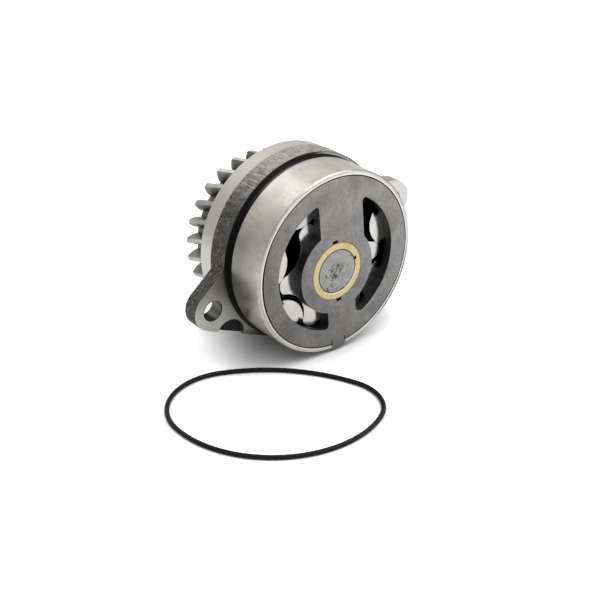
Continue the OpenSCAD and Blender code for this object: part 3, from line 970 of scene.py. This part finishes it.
# %% Make the gear's finish
land_radius = 35.6 * mm
flank_dark = (0.18, 0.183, 0.155, 1.0)
flank_light = (0.29, 0.293, 0.255, 1.0)
gap_shade_and_oil = (0.045, 0.046, 0.038, 1.0)


def build_gear():
    material, tree, surface = new_material("oiled gear steel")
    facing = split(tree, coordinates(tree)["Normal"])
    marks = place(tree, turned_marks, axis_x=shaft_x, axis_z=shaft_z, rings=5000.0, wander=3.0)
    clouds = place(tree, mottle, clouds=130.0, specks=900.0)
    edges = place(tree, worn_edges, width=0.08 * mm)
    flank = blend(tree, clouds["Cloud"], flank_dark, flank_light)
    # Painted shade deep between the teeth, where old oil also stays.
    deep = fade(tree, closeness(tree, 9 * mm), 0.75, 0.30, 0.0, 0.85)
    flank = blend(tree, deep, flank, gap_shade_and_oil)
    land = blend(tree, clouds["Cloud"], grey(0.38, 0.03), grey(0.55, 0.03))
    teeth = blend(tree, over(tree, marks["Radius"], land_radius), flank, land)
    side = blend(tree, marks["Streak"], grey(0.22, 0.03), grey(0.34, 0.03))
    colour = blend(tree, over(tree, away(tree, facing["Y"]), 0.9), teeth, side)
    fill(tree, surface, {
        "Base Color": tinge(tree, colour, edges["Mask"], 0.5, grey(0.5, 0.03)),
        "Roughness": blend(tree, clouds["Cloud"], 0.46, 0.36),
        "Metallic": 1.0,
        "Normal": bump(tree, marks["Height"], 0.012 * mm, edges["Normal"]),
    })
    return material


dress(build_gear(), "drive_gear")

# %% [markdown]
# ## The nut and its washer
#
# Both are phosphated: a dark, dry, slightly grainy coating that rubs off to steel on the corners.

# %% Make the phosphate coating
def build_phosphate():
    material, tree, surface = new_material("phosphated steel")
    clouds = place(tree, mottle, clouds=220.0, specks=1200.0)
    skin = place(tree, cast_skin, grain=2600.0, pits=900.0)
    edges = place(tree, worn_edges, width=0.25 * mm)
    colour = blend(tree, clouds["Cloud"], grey(0.06), grey(0.11))
    fill(tree, surface, {
        "Base Color": tinge(tree, colour, edges["Mask"], 0.7, grey(0.45)),
        "Roughness": blend(tree, edges["Mask"], 0.55, 0.35),
        "Metallic": 0.7,
        "Normal": bump(tree, skin["Height"], 0.03 * mm, edges["Normal"]),
    })
    return material


dress(build_phosphate(), "spring_washer", "gear_nut")

# %% [markdown]
# ## The O-ring
#
# Nitrile rubber is black and slightly shiny, so most of what shows is a thin grey line of reflected
# light along its top. It isn't a metal: its base colour is nearly black and its gloss is broad.

# %% Make the rubber
def build_rubber():
    material, tree, surface = new_material("black rubber")
    clouds = place(tree, mottle, clouds=90.0, specks=1400.0)
    skin = place(tree, cast_skin, grain=3000.0, pits=900.0)
    level = add(tree, "NewGeometry", {}).outputs["Normal"]
    fill(tree, surface, {
        "Base Color": blend(tree, clouds["Cloud"], grey(0.004), grey(0.008)),
        "Roughness": blend(tree, clouds["Cloud"], 0.55, 0.42),
        "Specular IOR Level": 0.2,
        "Normal": bump(tree, skin["Height"], 0.012 * mm, level),
    })
    return material


dress(build_rubber(), "o_ring")

# %% [markdown]
# ## The floor
#
# The pump stands on a white sweep. A floor that is only lit never looks quite white, so rays from
# the camera and from mirror-like metal see some light of its own on top. Under the pump that
# light would wash out the shadow, so an Ambient Occlusion node takes it away where the floor is
# closed in.

# %% Make the floor
floor_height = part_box("o_ring")[0].z
floor_size = 12.0
glow_for_mirrors = 0.40
glow_for_camera = 0.85


def floor_glow(tree):
    ray = add(tree, "LightPath", {}).outputs
    clear = fade(tree, closeness(tree, 24 * mm), 0.22, 0.90)
    mirrored = either(tree, ray["Is Glossy Ray"], ray["Is Transmission Ray"])
    level = calc(tree, "ADD", times(tree, mirrored, glow_for_mirrors),
        times(tree, ray["Is Camera Ray"], glow_for_camera))
    return times(tree, calc(tree, "POWER", clear, 1.5), level)


def build_floor():
    size = floor_size
    corners = [(-size, -size, 0), (size, -size, 0), (size, size, 0), (-size, size, 0)]
    mesh = bpy.data.meshes.new("floor")
    mesh.from_pydata(corners, [], [(0, 1, 2, 3)])
    floor = bpy.data.objects.new("floor", mesh)
    floor.location.z = floor_height
    bpy.context.scene.collection.objects.link(floor)
    material, tree, surface = new_material("white floor")
    fill(tree, surface, {
        "Base Color": grey(0.58),
        "Roughness": 0.9,
        "Specular IOR Level": 0.0,
        "Emission Color": grey(1.0),
        "Emission Strength": floor_glow(tree),
    })
    mesh.materials.append(material)
    return floor


build_floor()
print("floor at %.1f mm" % (floor_height / mm))

# %% [markdown]
# ## The light
#
# The studio is a white room with two soft lamps. The room is brighter above than at the horizon,
# which gives turned metal its bands. The key lamp stands high at the front right and gives the
# soft shadow, and a weaker one behind the pump lights the tops of the gear and the flange.

# %% Make the room
room_top = (0.45, 0.25, 0.86)
room_low = 0.38
room_levels = ((0.3, 0.50), (0.55, 0.70), (0.8, 0.92))


def build_room():
    world = bpy.data.worlds.new("studio")
    bpy.context.scene.world = world
    world.use_nodes = True
    tree = world.node_tree
    direction = coordinates(tree)["Generated"]
    lean = add(tree, "VectorMath", {0: direction, 1: room_top}, operation="DOT_PRODUCT")
    height = fade(tree, lean.outputs["Value"], -0.3, 1.0)
    ramp = add(tree, "ValToRGB", {"Fac": height})
    ramp.color_ramp.elements[0].color = grey(room_low)
    ramp.color_ramp.elements[1].color = grey(1.0)
    for position, level in room_levels:
        ramp.color_ramp.elements.new(position).color = grey(level)
    background = tree.nodes["Background"]
    feed(tree, ramp.outputs["Color"], background.inputs["Color"])
    background.inputs["Strength"].default_value = 1.0


build_room()
print("room levels:", ", ".join("%.2f" % level for position, level in room_levels))

# %% [markdown]
# ### The lamps
#
# Both lamps are softboxes, so they are area lights. A softbox is known by how bright its cloth
# looks, while Blender asks for its power, so the power is worked out from the brightness and the
# size. It then stays right when the size changes.

# %% Make the lamps
def build_lamp(name, direction, distance_away, width, height, radiance):
    lamp_data = bpy.data.lights.new(name, "AREA")
    lamp_data.shape = "RECTANGLE"
    lamp_data.size = width
    lamp_data.size_y = height
    lamp_data.energy = radiance * math.pi * width * height
    lamp = bpy.data.objects.new(name, lamp_data)
    aim = Vector(direction).normalized()
    lamp.location = aim * distance_away
    lamp.rotation_euler = aim.to_track_quat("Z", "Y").to_euler()
    bpy.context.scene.collection.objects.link(lamp)
    print("%s: %.1f W" % (name, lamp_data.energy))


build_lamp("key", (0.50, -0.40, 0.78), 1.3, 1.0, 1.0, 2.9)
build_lamp("back", (0.0, 0.70, 0.72), 1.1, 0.6, 0.5, 1.05)
